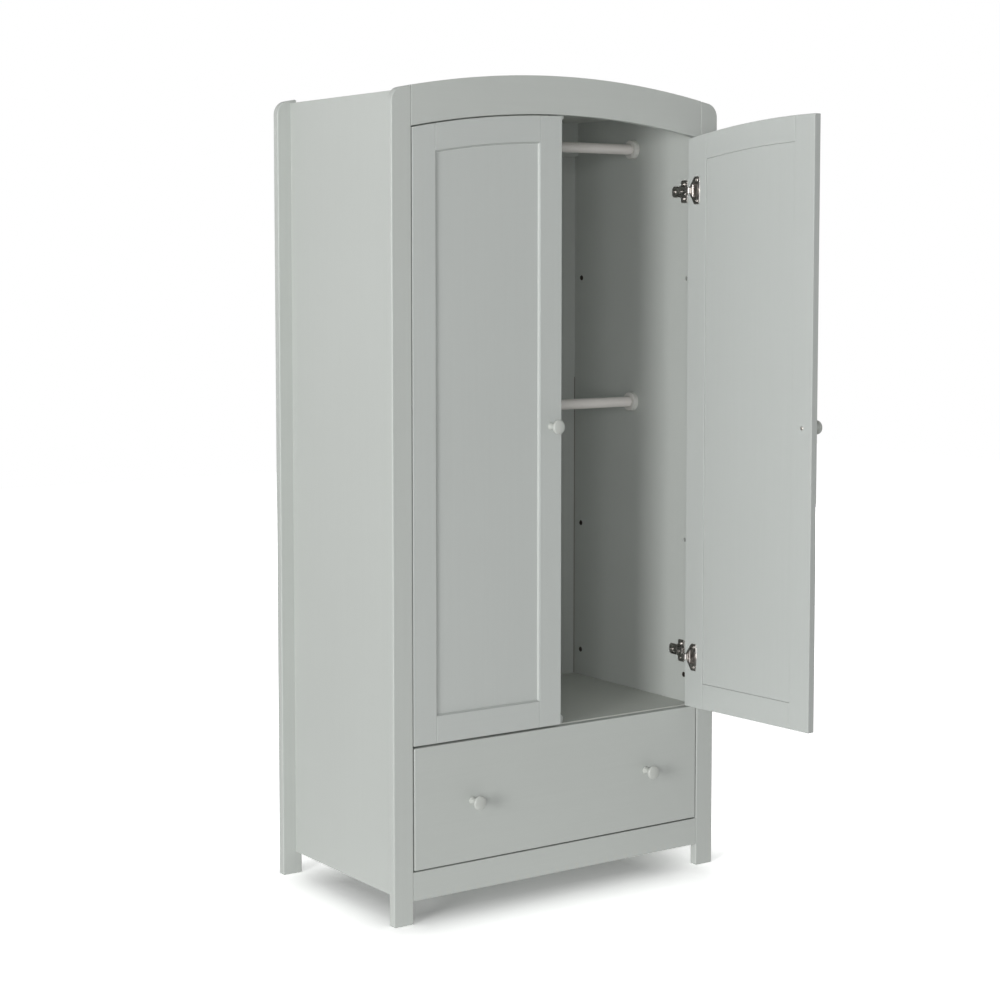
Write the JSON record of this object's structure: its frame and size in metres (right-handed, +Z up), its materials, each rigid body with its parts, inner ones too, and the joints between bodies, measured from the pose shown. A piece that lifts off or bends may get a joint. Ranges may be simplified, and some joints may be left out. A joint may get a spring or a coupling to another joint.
{
  "type": "wardrobe",
  "caption": "Painted wardrobe with an arched top rail on post legs, panelled doors over a wide drawer and hanging rods inside; the left door is shut, the right door stands open.",
  "frame": {"origin": "on the floor, under the middle of the whole object's box at rest, open right door included", "axes": "+X to the object's right seen from its front, +Y to its back, +Z up"},
  "size_m": [0.9, 0.9044, 1.85],
  "materials": {
    "paint": "satin grey paint",
    "knob": "satin grey paint with more gloss",
    "sheet": "satin grey paint on thin board",
    "rod": "satin warm grey paint",
    "socket": "satin",
    "nickel": "nickel plated, satin",
    "steel": "pale coated sheet",
    "nylon": "matt"
  },
  "bodies": {
    "carcass": {"front_post_left": "paint", "front_post_right": "paint", "back_post_left": "paint", "back_post_right": "paint", "side_panel_left": "paint", "side_panel_right": "paint", "top_panel": "paint", "compartment_floor": "paint", "back_panel": "sheet", "arched_top_rail": "paint", "bottom_front_rail": "paint", "back_top_rail": "paint", "back_bottom_rail": "paint", "hanging_rod_upper": "rod", "hanging_rod_lower": "rod", "rod_socket_upper_left": "socket", "rod_socket_upper_right": "socket", "rod_socket_lower_left": "socket", "rod_socket_lower_right": "socket", "door_stop_lower": "paint", "door_stop_upper": "paint", "cabinet_runner_left": "steel", "cabinet_runner_right": "steel", "hinge_plate_left_lower": "nickel", "hinge_plate_left_upper": "nickel", "hinge_plate_right_lower": "nickel", "hinge_plate_right_upper": "nickel"},
    "drawer": {"drawer_front": "paint", "drawer_side_left": "paint", "drawer_side_right": "paint", "drawer_back": "paint", "drawer_bottom": "sheet", "drawer_knob_left": "knob", "drawer_knob_right": "knob", "drawer_runner_left": "steel", "drawer_runner_right": "steel"},
    "left_door": {"door_left_hinge_stile": "paint", "door_left_free_stile": "paint", "door_left_top_rail": "paint", "door_left_bottom_rail": "paint", "door_left_panel": "paint", "door_left_knob": "knob", "hinge_cup_left_lower": "nickel", "hinge_cup_left_upper": "nickel"},
    "right_door": {"door_right_hinge_stile": "paint", "door_right_free_stile": "paint", "door_right_top_rail": "paint", "door_right_bottom_rail": "paint", "door_right_panel": "paint", "door_right_knob": "knob", "hinge_cup_right_lower": "nickel", "hinge_cup_right_upper": "nickel"},
    "left_lower_link": {"hinge_link_left_lower": "nickel"},
    "left_upper_link": {"hinge_link_left_upper": "nickel"},
    "right_lower_link": {"hinge_link_right_lower": "nickel"},
    "right_upper_link": {"hinge_link_right_upper": "nickel"},
    "front_roller_left_wheel": {"front_roller_left": "nylon"},
    "back_roller_left_wheel": {"back_roller_left": "nylon"},
    "front_roller_right_wheel": {"front_roller_right": "nylon"},
    "back_roller_right_wheel": {"back_roller_right": "nylon"}
  },
  "joints": [
    {"name": "drawer_slide", "type": "slide", "parent": "carcass", "child": "drawer", "axis": [0, -1, 0], "range_m": [0, 0.34]},
    {"name": "left_door_hinge", "type": "hinge", "parent": "carcass", "child": "left_door", "pos_m": [-0.3884, -0.06556, 1.07], "axis": [0, 0, -1], "range_deg": [0, 110]},
    {"name": "right_door_hinge", "type": "hinge", "parent": "carcass", "child": "right_door", "pos_m": [0.3884, -0.06556, 1.07], "axis": [0, 0, 1], "range_deg": [-94, 16]},
    {"name": "left_lower_link_pivot", "type": "hinge", "parent": "carcass", "child": "left_lower_link", "pos_m": [-0.39, -0.03276, 0.512], "axis": [0, 0, -1], "range_deg": [0, 66.5]},
    {"name": "left_upper_link_pivot", "type": "hinge", "parent": "carcass", "child": "left_upper_link", "pos_m": [-0.39, -0.03276, 1.60531], "axis": [0, 0, -1], "range_deg": [0, 66.5]},
    {"name": "right_lower_link_pivot", "type": "hinge", "parent": "carcass", "child": "right_lower_link", "pos_m": [0.39, -0.03276, 0.512], "axis": [0, 0, 1], "range_deg": [-56.9, 10.1]},
    {"name": "right_upper_link_pivot", "type": "hinge", "parent": "carcass", "child": "right_upper_link", "pos_m": [0.39, -0.03276, 1.60531], "axis": [0, 0, 1], "range_deg": [-56.9, 10.1]},
    {"name": "front_roller_left_spin", "type": "hinge", "parent": "carcass", "child": "front_roller_left_wheel", "pos_m": [-0.3927, -0.02676, 0.1545], "axis": [1, 0, 0], "continuous": true},
    {"name": "back_roller_left_spin", "type": "hinge", "parent": "drawer", "child": "back_roller_left_wheel", "pos_m": [-0.3927, 0.40024, 0.1545], "axis": [1, 0, 0], "continuous": true},
    {"name": "front_roller_right_spin", "type": "hinge", "parent": "carcass", "child": "front_roller_right_wheel", "pos_m": [0.3927, -0.02676, 0.1545], "axis": [1, 0, 0], "continuous": true},
    {"name": "back_roller_right_spin", "type": "hinge", "parent": "drawer", "child": "back_roller_right_wheel", "pos_m": [0.3927, 0.40024, 0.1545], "axis": [1, 0, 0], "continuous": true}
  ],
  "couplings": [
    {"joint": "left_lower_link_pivot", "follows": "left_door_hinge", "ratio": 0.6},
    {"joint": "left_upper_link_pivot", "follows": "left_door_hinge", "ratio": 0.6},
    {"joint": "right_lower_link_pivot", "follows": "right_door_hinge", "ratio": 0.6},
    {"joint": "right_upper_link_pivot", "follows": "right_door_hinge", "ratio": 0.6},
    {"joint": "front_roller_left_spin", "follows": "drawer_slide", "rad_per_m": 111.11},
    {"joint": "back_roller_left_spin", "follows": "drawer_slide", "rad_per_m": 111.11},
    {"joint": "front_roller_right_spin", "follows": "drawer_slide", "rad_per_m": 111.11},
    {"joint": "back_roller_right_spin", "follows": "drawer_slide", "rad_per_m": 111.11}
  ]
}
